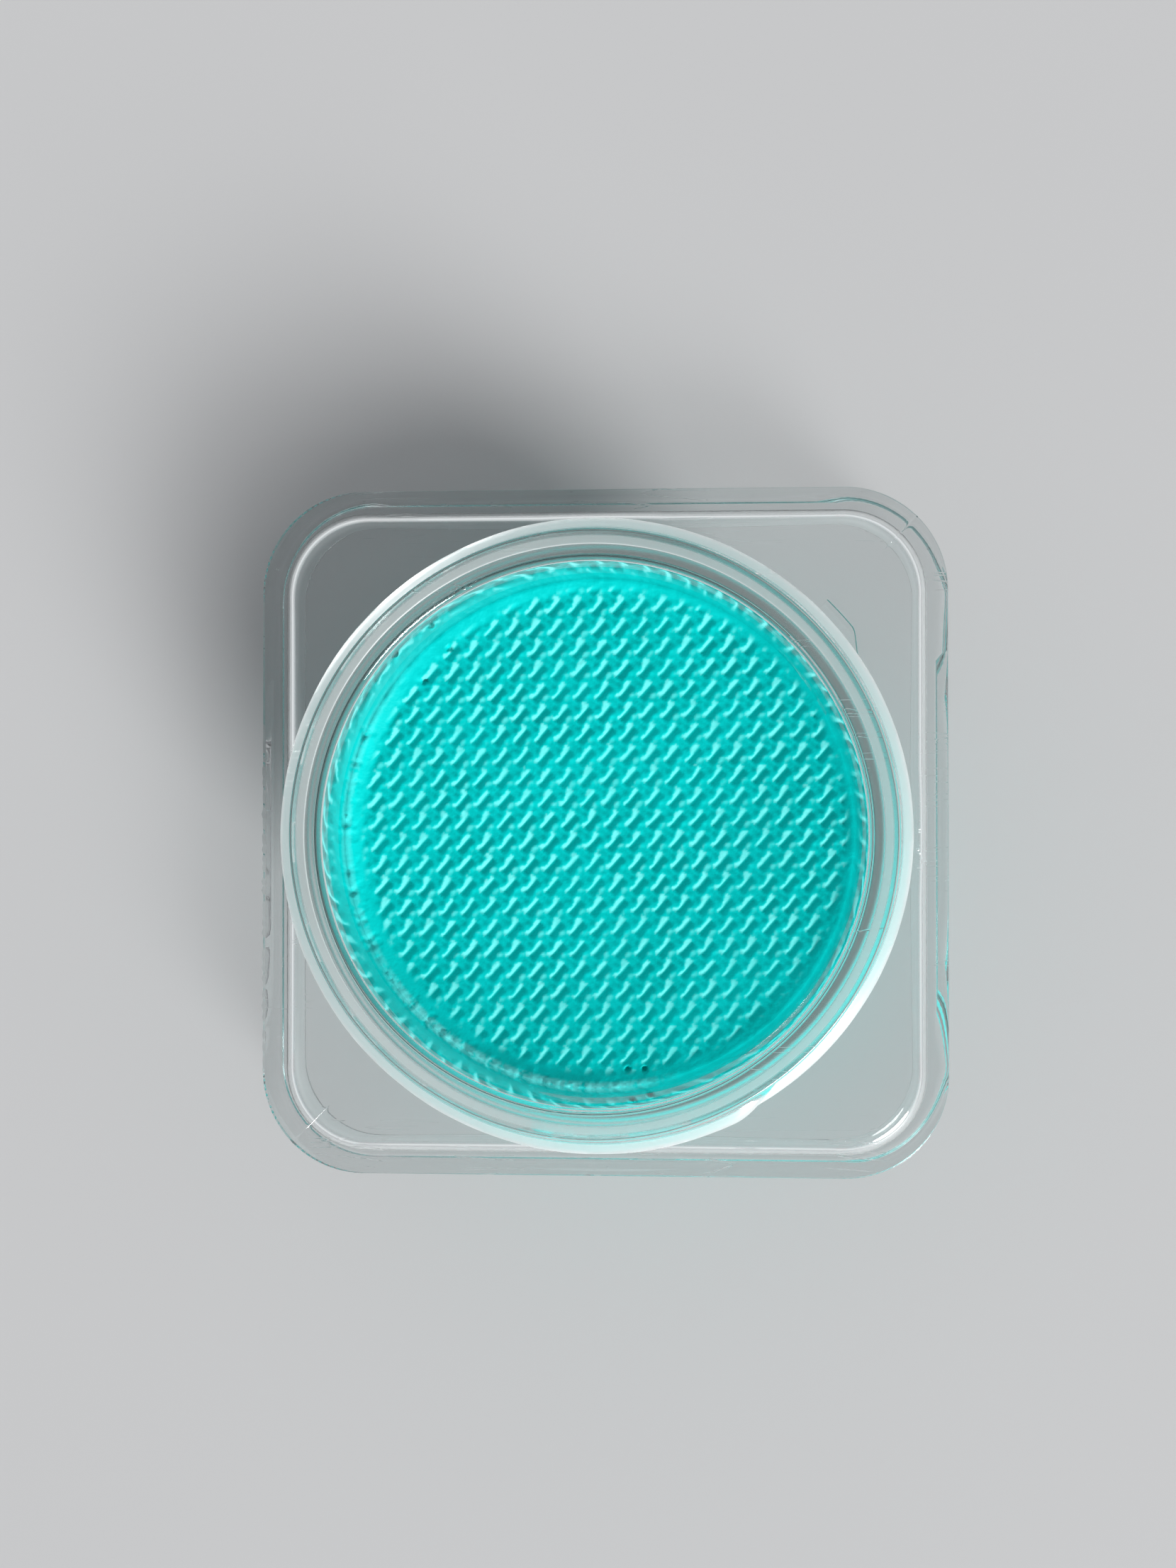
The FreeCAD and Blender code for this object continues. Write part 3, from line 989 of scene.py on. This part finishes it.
@dataclass(frozen=True)
class WovenPrint:
    """Print of a plain woven cloth, pressed into the cake by a geometry node tree.

    The cloth's columns and rows are its repeats in plan. Its threads run across them: the rising ones along a
    column less a row, the falling ones along a column plus a row, and each set's floats lie like bricks.
    A noise is given by its cell, its detail and the shift of its seed. A pit is given by its angle in degrees
    and its radius in millimetres.
    """

    DEPTH_NAME = "print_depth"
    # Attribute holding where a highlight is painted: the marks' lit flanks and the cake's edge.
    FLANK_NAME = "print_flank"
    GIVEN_FIELDS = (
        *("field_centre", "field_radius", "field_fade", "weak_side", "waver", "crumb", "crumbled_side"),
        *("raised_side", "raised_edge", "raised_width", "wall_lean", "pit_radius", "pit_depth", "seed"),
    )

    column: Pair = (0.910 * MM, 0.0135 * MM)
    row: Pair = (0.063 * MM, -0.911 * MM)
    rising_start: Pair = (0.653, 0.414)
    falling_start: Pair = (0.193, 0.903)
    rising: ThreadMark = ThreadMark(
        half_length=0.46 * MM,
        end=0.11 * MM,
        steep_side=0.36 * MM,
        gentle_side=0.34 * MM,
        depth=0.13 * MM,
        waist=0.34,
    )
    falling: ThreadMark = ThreadMark(
        half_length=0.47 * MM, end=0.3 * MM, steep_side=0.2 * MM, gentle_side=0.2 * MM, depth=0.085 * MM
    )
    line_shift: float = -0.03
    waist_place: float = -0.3
    softness: float = 0.4
    waver: float = 0.2 * MM
    waver_noise: Triple = (3.0 * MM, 4.0, 0.0)
    uneven_noise: Triple = (0.42 * MM, 1.0, 9.0)
    uneven_width: Range = (0.3, 0.7, 0.6, 1.35)
    flank_depth: Pair = (0.05, 0.25)
    # Where the highlight is painted: the lit steep wall of each rising mark and the lit end of each falling
    # one.
    rising_lit: Pair = (0.02, 0.25)
    falling_lit: Range = (-0.6, -0.3, 0.5, 0.0)
    falling_patch: Pair = (0.42, 0.6)
    field_centre: Triple = (0.2 * MM, 0.1 * MM, 0.0)
    field_radius: float = 10.45 * MM
    field_fade: float = 0.35 * MM
    firm_noise: Triple = (2.6 * MM, 2.0, 5.0)
    firm_range: Range = (0.25, 0.7, 0.75, 1.1)
    weak_side: Triple = (0.5, -0.87, 0.0)
    weak_range: Range = (6.0 * MM, 10.0 * MM, 1.0, 0.7)
    upward: float = 0.3
    crumb: float = 0.09 * MM
    crumb_width: float = 0.4 * MM
    crumb_drop: float = 0.5 * MM
    crumb_noise: Triple = (0.26 * MM, 3.0, 0.0)
    crumb_middle: float = 0.45
    crumb_least: Pair = (0.08, -0.1)
    crumb_gain: float = 4.0
    crumbled_side: Triple = (-0.375, -0.927, 0.0)
    crumbled_arc: Pair = (0.75, 0.95)
    raised_side: Triple = (-0.87, -0.49, 0.0)
    raised_arc: Pair = (0.2, 0.75)
    raised_edge: float = 0.28 * MM
    raised_width: float = 0.52 * MM
    raised_power: float = 1.25
    raised_noise: Triple = (0.55 * MM, 2.0, 2.0)
    raised_gaps: Range = (0.36, 0.5, 0.45, 1.0)
    # Painted highlight along the cake's edge: its share on the raised side and the band where it lies.
    raised_rub: float = 0.3
    rub_width: float = 0.17 * MM
    rub_fade: float = 0.1 * MM
    rub_range: Pair = (0.36, 0.48)
    wall_lean: float = 0.068
    pits: tuple[Pair, ...] = ((139.0, 9.9), (129.0, 10.15), (-79.0, 10.2), (-83.0, 10.1))
    pit_radius: float = 0.16 * MM
    pit_depth: float = 0.3 * MM
    pit_floor: float = 0.4
    seed: float = 4.0

    def counts(self) -> tuple[np.ndarray, np.ndarray]:
        """Gives the two vectors whose dot products with a place count columns and rows."""
        whole = np.linalg.inv(np.array([self.column, self.row]).T)
        return whole[0], whole[1]

    def repeat(self, thread: Thread) -> Pair:
        """Measures how one set of threads repeats.

        Args:
            thread: the set of threads.

        Returns:
            Distance between floats along a thread, and between neighbouring threads.
        """
        column, row = np.array(self.column), np.array(self.row)
        along = column - row if thread is Thread.RISING else column + row
        length = float(np.linalg.norm(along))
        area = abs(column[0] * row[1] - column[1] * row[0])
        return length, float(area / length)

    def inputs(self, rim: float, level: float, finish: Material) -> dict[str, Any]:
        """Lists the tree's named inputs.

        Args:
            rim: radius of the cake's face.
            level: level of the cake's edge.
            finish: the pigment.

        Returns:
            Values by name.
        """
        columns, rows = self.counts()
        made = {"Columns": (*columns, 0.0), "Rows": (*rows, 0.0)}
        made |= {"Rim": rim, "Level": level, "Finish": finish}
        made |= {socket_name(name): getattr(self, name) for name in self.GIVEN_FIELDS}
        for thread, mark in ((Thread.RISING, self.rising), (Thread.FALLING, self.falling)):
            length, spacing = self.repeat(thread)
            for name, size in (asdict(mark) | {"repeat": length, "spacing": spacing}).items():
                made[f"{thread.value} {socket_name(name)}"] = size
        for count, (angle, radius) in enumerate(self.pits):
            turn = math.radians(angle)
            made[f"Pit {count}"] = (radius * MM * math.cos(turn), radius * MM * math.sin(turn), 0.0)
        return made

    def press(self, cake: Object, rim: float, level: float, finish: Material) -> None:
        """Presses the print into a cake and leaves a plain mesh.

        Args:
            cake: the unprinted cake.
            rim: radius of its face.
            level: level of its edge.
            finish: the pigment.
        """
        inputs = self.inputs(rim, level, finish)
        tree = self.tree(inputs)
        modifier = cake.modifiers.new("woven_print", "NODES")
        modifier.node_group = tree
        for item in tree.interface.items_tree:
            if item.in_out == "INPUT" and item.name in inputs:
                modifier[item.identifier] = inputs[item.name]
        graph = bpy.context.evaluated_depsgraph_get()
        printed = bpy.data.meshes.new_from_object(
            cake.evaluated_get(graph), preserve_all_data_layers=True, depsgraph=graph
        )
        cake.modifiers.clear()
        cake.data = printed

    def tree(self, inputs: dict[str, Any]) -> NodeTree:
        """Builds the tree.

        Args:
            inputs: values by name, whose types are the sockets' types.

        Returns:
            The tree.
        """
        tree = bpy.data.node_groups.new("woven_print", "GeometryNodeTree")
        kinds = {tuple: "NodeSocketVector", float: "NodeSocketFloat", Material: "NodeSocketMaterial"}
        tree.interface.new_socket(name="Geometry", in_out="INPUT", socket_type="NodeSocketGeometry")
        for name, value in inputs.items():
            tree.interface.new_socket(name=name, in_out="INPUT", socket_type=kinds[type(value)])
        tree.interface.new_socket(name="Geometry", in_out="OUTPUT", socket_type="NodeSocketGeometry")
        graph = PrintGraph(tree, self)
        given, firmness = graph.given, graph.firmness()
        depth, flank = (graph.product(part, firmness) for part in graph.cloth())
        crumbs, rubbed = graph.crumbs()
        lift = graph.minus(crumbs, depth)
        lean = graph.product(lift, given["Wall Lean"])
        x, y, _ = graph.split(graph.scaled(graph.vector("NORMALIZE", graph.place), lean))
        feeds = {"Geometry": given["Geometry"], "Offset": graph.joined(x, y, lift)}
        made = graph.node("GeometryNodeSetPosition", feeds)
        share = graph.ratio(depth, given["Rising Depth"])
        # The second attribute is a painted highlight on the marks' lit flanks and along the cake's edge.
        for name, value in ((self.DEPTH_NAME, share), (self.FLANK_NAME, graph.most(flank, rubbed))):
            feeds = {"Geometry": made.outputs[0], "Name": name, "Value": value}
            made = graph.node("GeometryNodeStoreNamedAttribute", feeds, data_type="FLOAT", domain="POINT")
        made = graph.node("GeometryNodeRealizeInstances", {0: made.outputs[0]})
        feeds = {"Geometry": made.outputs[0], "Material": given["Finish"]}
        made = graph.node("GeometryNodeSetMaterial", feeds)
        graph.node("NodeGroupOutput", {0: made.outputs[0]})
        return tree


class PrintGraph(Graph):
    """Adds the parts of the print's own tree."""

    def __init__(self, tree: NodeTree, design: WovenPrint) -> None:
        """Starts on a tree that has its inputs.

        Args:
            tree: the tree.
            design: the print's sizes.
        """
        super().__init__(tree)
        self.design = design
        self.given = self.node("NodeGroupInput").outputs
        self.place = self.node("GeometryNodeInputPosition").outputs[0]

    def uneven(self, cell: float, detail: float, shift: float, output: str | int = 0) -> NodeSocket:
        """Adds a noise at the place, with the print's seed shifted."""
        return self.noise(self.place, 1.0 / cell, detail, self.math("ADD", self.given["Seed"], shift), output)

    def sizes(self, thread: Thread, *names: str) -> list[NodeSocket]:
        """Gives the inputs that hold some sizes of a set of threads."""
        return [self.given[f"{thread.value} {name}"] for name in names]

    def cloth(self) -> list[NodeSocket]:
        """Works out the cloth's marks.

        Returns:
            Sockets of the marks' depth and of the mask of the painted highlight on their lit flanks.
        """
        wave = self.vector("SUBTRACT", self.uneven(*self.design.waver_noise, "Color"), (0.5, 0.5, 0.5))
        spot = self.vector("ADD", self.place, self.scaled(wave, self.given["Waver"]))
        column, row = (self.measured("DOT_PRODUCT", spot, self.given[name]) for name in ("Columns", "Rows"))
        uneven = self.uneven(*self.design.uneven_noise)
        marks = [self.mark(thread, column, row, uneven) for thread in Thread]
        return [self.most(*parts) for parts in zip(*marks)]

    def mark(
        self, thread: Thread, column: NodeSocket, row: NodeSocket, uneven: NodeSocket
    ) -> tuple[NodeSocket, NodeSocket]:
        """Works out one set of threads' marks.

        Args:
            thread: the set of threads.
            column: place in columns of the cloth.
            row: place in rows of the cloth.
            uneven: noise that varies the marks.

        Returns:
            Sockets of the marks' depth and of the mask of the painted highlight on their lit flanks.
        """
        design, rising = self.design, thread is Thread.RISING
        start, shift = (design.rising_start, design.line_shift) if rising else (design.falling_start, 0.0)
        half_length, end, steep_side, gentle_side = self.sizes(
            thread, "Half Length", "End", "Steep Side", "Gentle Side"
        )
        depth, waist, repeat, spacing = self.sizes(thread, "Depth", "Waist", "Repeat", "Spacing")
        column, row = self.minus(column, start[0]), self.minus(row, start[1])
        lines = self.math("ADD" if rising else "SUBTRACT", column, row)
        line = self.math("WRAP", lines, 0.5 + shift, shift - 0.5)
        number = self.product(row, -1.0 if rising else 1.0)
        share = self.math("WRAP", self.math("MULTIPLY_ADD", line, 0.5, number), 0.5, -0.5)
        along = self.ratio(self.product(share, repeat), half_length)
        across = self.product(line, spacing)
        swell = self.math("ABSOLUTE", self.minus(along, design.waist_place))
        swell = self.ratio(swell, 1.0 - design.waist_place)
        width = self.math("ADD", waist, self.product(swell, self.minus(1.0, waist)))
        width = self.product(width, self.eased(uneven, *design.uneven_width))
        steep = self.ratio(self.product(across, -1.0), self.product(width, steep_side))
        aside = self.most(steep, self.ratio(across, gentle_side))
        past = self.product(self.minus(self.math("ABSOLUTE", along), 1.0), half_length)
        ahead = self.most(self.ratio(self.math("ADD", past, end), end), 0.0)
        away = self.measured("LENGTH", self.joined(ahead, aside, 0.0))
        hollow = self.math("SUBTRACT", 1.0, away, clamp=True)
        softer = self.minus(self.eased(hollow, 0.0, 1.0), hollow)
        rounded = self.math("MULTIPLY_ADD", softer, design.softness, hollow)
        # Painted highlight mask: the lit steep wall of a rising mark and the lit end of a falling one.
        if rising:
            lit = self.eased(steep, *design.rising_lit)
        else:
            patch = self.eased(uneven, *design.falling_patch)
            lit = self.product(self.eased(along, *design.falling_lit), patch)
        return self.product(rounded, depth), self.product(lit, self.eased(hollow, *design.flank_depth))

    def firmness(self) -> NodeSocket:
        """Works out how firmly the cloth was pressed.

        Returns:
            Socket of the firmness, 0 to about 1.
        """
        design, radius = self.design, self.given["Field Radius"]
        off = self.vector("SUBTRACT", self.place, self.given["Field Centre"])
        away = self.measured("LENGTH", self.vector("MULTIPLY", off, (1.0, 1.0, 0.0)))
        inside = self.eased(away, self.minus(radius, self.given["Field Fade"]), radius, 1.0, 0.0)
        firm = self.eased(self.uneven(*design.firm_noise), *design.firm_range)
        lean = self.measured("DOT_PRODUCT", self.place, self.given["Weak Side"])
        firm = self.product(firm, self.eased(lean, *design.weak_range))
        facing = self.split(self.node("GeometryNodeInputNormal").outputs[0])[2]
        return self.product(inside, firm, self.math("GREATER_THAN", facing, design.upward))

    def crumbs(self) -> tuple[NodeSocket, NodeSocket]:
        """Works out the crumbling of the cake's edge, its raised side and the pits in it.

        Returns:
            Sockets of the lift and of the mask of the painted highlight along the cake's edge.
        """
        design, given = self.design, self.given
        rim, level, width, radius = (given[name] for name in ("Rim", "Level", "Raised Width", "Pit Radius"))
        x, y, z = self.split(self.place)
        flat = self.joined(x, y, 0.0)
        out = self.measured("LENGTH", flat)
        near = self.eased(out, self.minus(rim, design.crumb_width), rim)
        high = self.eased(z, self.minus(level, design.crumb_drop), level)
        worn, beside = (
            self.eased(self.ratio(self.measured("DOT_PRODUCT", flat, given[side]), out), *arc)
            for side, arc in (("Crumbled Side", design.crumbled_arc), ("Raised Side", design.raised_arc))
        )
        rough = self.uneven(*design.crumb_noise)
        least = self.math("MULTIPLY_ADD", worn, *design.crumb_least)
        bead = self.most(self.minus(rough, design.crumb_middle), least)
        amount = self.product(bead, given["Crumb"], self.math("MULTIPLY_ADD", worn, design.crumb_gain, 1.0))
        lift = self.product(amount, self.product(near, high))
        climb = self.ratio(self.most(self.minus(out, self.minus(rim, width)), 0.0), width)
        climb = self.math("MINIMUM", self.math("POWER", climb, design.raised_power), 1.0)
        gaps = self.eased(self.uneven(*design.raised_noise), *design.raised_gaps)
        climb = self.product(climb, self.product(beside, high), gaps)
        lift = self.math("MULTIPLY_ADD", climb, given["Raised Edge"], lift)
        for count in range(len(design.pits)):
            away = self.measured("DISTANCE", flat, given[f"Pit {count}"])
            hole = self.eased(away, self.product(radius, design.pit_floor), radius, 1.0, 0.0)
            lift = self.minus(lift, self.product(hole, high, given["Pit Depth"]))
        # The edge's paler band is a painted highlight on the beads and the raised side.
        worn = self.most(worn, self.product(beside, design.raised_rub))
        inner = self.minus(rim, design.rub_width)
        tip = self.product(self.eased(out, inner, self.math("ADD", inner, design.rub_fade)), high)
        return lift, self.product(worn, tip, self.eased(rough, *design.rub_range))


@dataclass
class PressedCake:
    """The cake of pigment that fills the cup below its lip."""

    INSIDE_RIM = 1

    cup: CupWall
    level: float
    floor_level: float
    rim_width: float = 0.1 * MM
    edge_round: float = 0.01 * MM
    floor_round: float = 0.8 * MM
    dish: float = 0.2 * MM
    border_power: float = 18.0
    wall_contact: float = 0.02 * MM
    floor_contact: float = 0.02 * MM
    grain_turn: float = math.radians(47.5)
    row_step: float = 0.053 * MM
    place_step: float = 0.09 * MM
    row_clear: float = 0.7
    rim_divisions: int = 720
    net_tolerance: float = 1e-7
    crease: float = 60.0

    @classmethod
    def from_frame(cls) -> PressedCake:
        """Takes the cake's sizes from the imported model."""
        low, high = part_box(Piece.PRESSED_CAKE.value)
        _, pot_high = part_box(Piece.MOULDED_POT.value)
        return cls(cup=CupWall(pot_high.z, low.z), level=high.z, floor_level=low.z - cls.floor_contact)

    @property
    def edge_radius(self) -> float:
        """Radius of the cake's edge, which sticks to the cup's wall."""
        return self.cup.radius(self.level) + self.wall_contact

    def face(self) -> tuple[np.ndarray, list[list[int]], np.ndarray]:
        """Makes the round face as an even net of triangles whose rows follow the print's steeper threads.

        Returns:
            Its vertices, its faces, and the vertex numbers round its rim in order.
        """
        rim = self.edge_radius - self.rim_width
        rows, places = (np.arange(-rim, rim, step) for step in (self.row_step, self.place_step))
        along, across = np.meshgrid(places, rows)
        along[1::2] += self.place_step / 2
        turn = np.array([math.cos(self.grain_turn), math.sin(self.grain_turn)])
        spots = np.stack([along * turn[0] - across * turn[1], along * turn[1] + across * turn[0]], axis=-1)
        spots = spots.reshape(-1, 2)
        spots = spots[np.linalg.norm(spots, axis=1) < rim - self.row_clear * self.row_step]
        angles = np.linspace(0.0, WHOLE_TURN, self.rim_divisions, endpoint=False)
        spots = np.concatenate([np.stack([np.cos(angles), np.sin(angles)], axis=1) * rim, spots])
        loop = np.arange(self.rim_divisions)
        edges = np.stack([loop, np.roll(loop, -1)], axis=1).tolist()
        points = [Vector(spot) for spot in spots / MM]
        net = delaunay_2d_cdt(points, edges, [], self.INSIDE_RIM, self.net_tolerance)
        plan = np.array([vertex[:] for vertex in net[0]]) * MM
        share = np.linalg.norm(plan, axis=1) / rim
        level = self.level - self.dish * (1 - share**self.border_power)
        return np.column_stack([plan, level]), [list(face) for face in net[2]], loop

    def build(self, finish: Material) -> Object:
        """Makes the cake, presses the cloth's print into it and dresses it.

        Args:
            finish: the pigment.

        Returns:
            The cake.
        """
        vertices, faces, loop = self.face()
        rim = self.edge_radius - self.rim_width
        floor, foot = self.floor_level, self.cup.floor_radius + self.wall_contact
        section, _ = rounded_path(
            [
                Corner("rim", rim, self.level),
                Corner("lap", self.edge_radius - self.wall_contact, self.level),
                Corner("edge", self.edge_radius, self.level, self.edge_round, steps=4),
                Corner("waist", self.cup.waist_radius + self.wall_contact, self.cup.waist_level),
                Corner("wall", foot, floor, self.floor_round, steps=6, run=3),
                Corner("middle", 0.0, floor, run=2),
            ],
            1,
        )
        unit = vertices[loop, :2] / rim
        places, ring = [vertices], loop
        total = len(vertices)
        for radius, level in section[0, 1:-1]:
            places.append(np.column_stack([unit * radius, np.full(len(loop), level)]))
            below = np.arange(total, total + len(loop))
            faces += np.column_stack([ring, below, np.roll(below, -1), np.roll(ring, -1)]).tolist()
            ring, total = below, total + len(loop)
        places.append(np.array([[0.0, 0.0, floor]]))
        faces += [[a, total, b] for a, b in zip(ring.tolist(), np.roll(ring, -1).tolist())]
        made = mesh_object("pressed_cake", np.concatenate(places), faces, self.crease)
        WovenPrint().press(made, rim, self.level, finish)
        return made


@dataclass(frozen=True)
class BroadLamp:
    """A broad, far lamp that lights the whole table evenly."""

    name: str
    place: Triple
    spread: float
    strength: float
    colour: Colour = (1.0, 1.0, 1.0)

    def build(self) -> None:
        """Hangs the lamp."""
        data = bpy.data.lights.new(self.name, "SUN")
        data.angle, data.energy, data.color = self.spread, self.strength, self.colour
        lamp = bpy.data.objects.new(self.name, data)
        lamp.location = self.place
        lamp.rotation_euler = (-Vector(self.place)).to_track_quat("-Z", "Y").to_euler()
        bpy.context.scene.collection.objects.link(lamp)


@dataclass(frozen=True)
class PhotoCamera:
    """Camera that looks down on the pot from a little to its right."""

    place: Triple = (5.28 * MM, 1.28 * MM, 93.47 * MM)
    tilt: Triple = (math.radians(0.532), math.radians(3.84), math.radians(-0.029))
    focal_pixels: float = 2842.0
    sensor: float = 36.0
    clip: Pair = (0.005, 20.0)

    def build(self) -> None:
        """Sets the camera up and makes it the scene's own."""
        data = bpy.data.cameras.new("photo_camera")
        data.sensor_width = self.sensor
        data.lens = self.focal_pixels / PHOTO_LONG_SIDE * self.sensor
        data.clip_start, data.clip_end = self.clip
        camera = bpy.data.objects.new("photo_camera", data)
        camera.location, camera.rotation_euler = self.place, self.tilt
        bpy.context.scene.collection.objects.link(camera)
        bpy.context.scene.camera = camera


@dataclass(frozen=True)
class Studio:
    """Pale floor, one broad lamp and a plain room round the pot."""

    floor_half: float = 1.2
    floor_drop: float = 0.02 * MM
    horizon: Colour = (0.85, 0.86, 0.87)
    ceiling: Colour = (0.22, 0.225, 0.24)
    room_rise: Pair = (0.05, 0.85)
    room_strength: float = 1.0
    key: BroadLamp = BroadLamp(
        "key_lamp", place=(0.22, -0.27, 0.185), spread=math.radians(24.0), strength=3.8
    )

    def build(self) -> None:
        """Sets the floor, the lamp and the room up."""
        half, level = self.floor_half, -self.floor_drop
        plan = (-half, -half), (half, -half), (half, half), (-half, half)
        floor = mesh_object("floor", np.array([(*spot, level) for spot in plan]), [[0, 1, 2, 3]])
        floor.data.materials.append(PaleFloor().material())
        self.key.build()
        self.room()
        bpy.context.scene.view_settings.view_transform = "Standard"

    def room(self) -> None:
        """Lights the world as a room with pale walls and a dimmer ceiling."""
        world = bpy.data.worlds.new("room")
        world.use_nodes = True
        world.node_tree.nodes.clear()
        graph = Graph(world.node_tree)
        up = graph.split(graph.coordinates("Generated"))[2]
        tone = graph.blended(graph.eased(up, *self.room_rise), self.horizon, self.ceiling)
        light = graph.node("ShaderNodeBackground", {"Color": tone, "Strength": self.room_strength})
        graph.node("ShaderNodeOutputWorld", {"Surface": light.outputs[0]})
        bpy.context.scene.world = world


def dress(made: Object, piece: Piece) -> None:
    """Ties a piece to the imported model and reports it.

    Args:
        made: the piece's object.
        piece: which piece it is.
    """
    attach(made, "root")
    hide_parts(piece.value)
    LOG.info("%s: %d faces", made.name, len(made.data.polygons))


def main() -> None:
    """Builds the pot, the cake and the studio."""
    logging.basicConfig(level=logging.INFO, format="%(message)s")
    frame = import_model()
    pot = MouldedPot.from_frame(frame["record"]).build(ClearPlastic().material())
    dress(pot, Piece.MOULDED_POT)
    cake = PressedCake.from_frame().build(PressedPigment().material())
    dress(cake, Piece.PRESSED_CAKE)
    Studio().build()
    PhotoCamera().build()


if __name__ == "__main__":
    main()
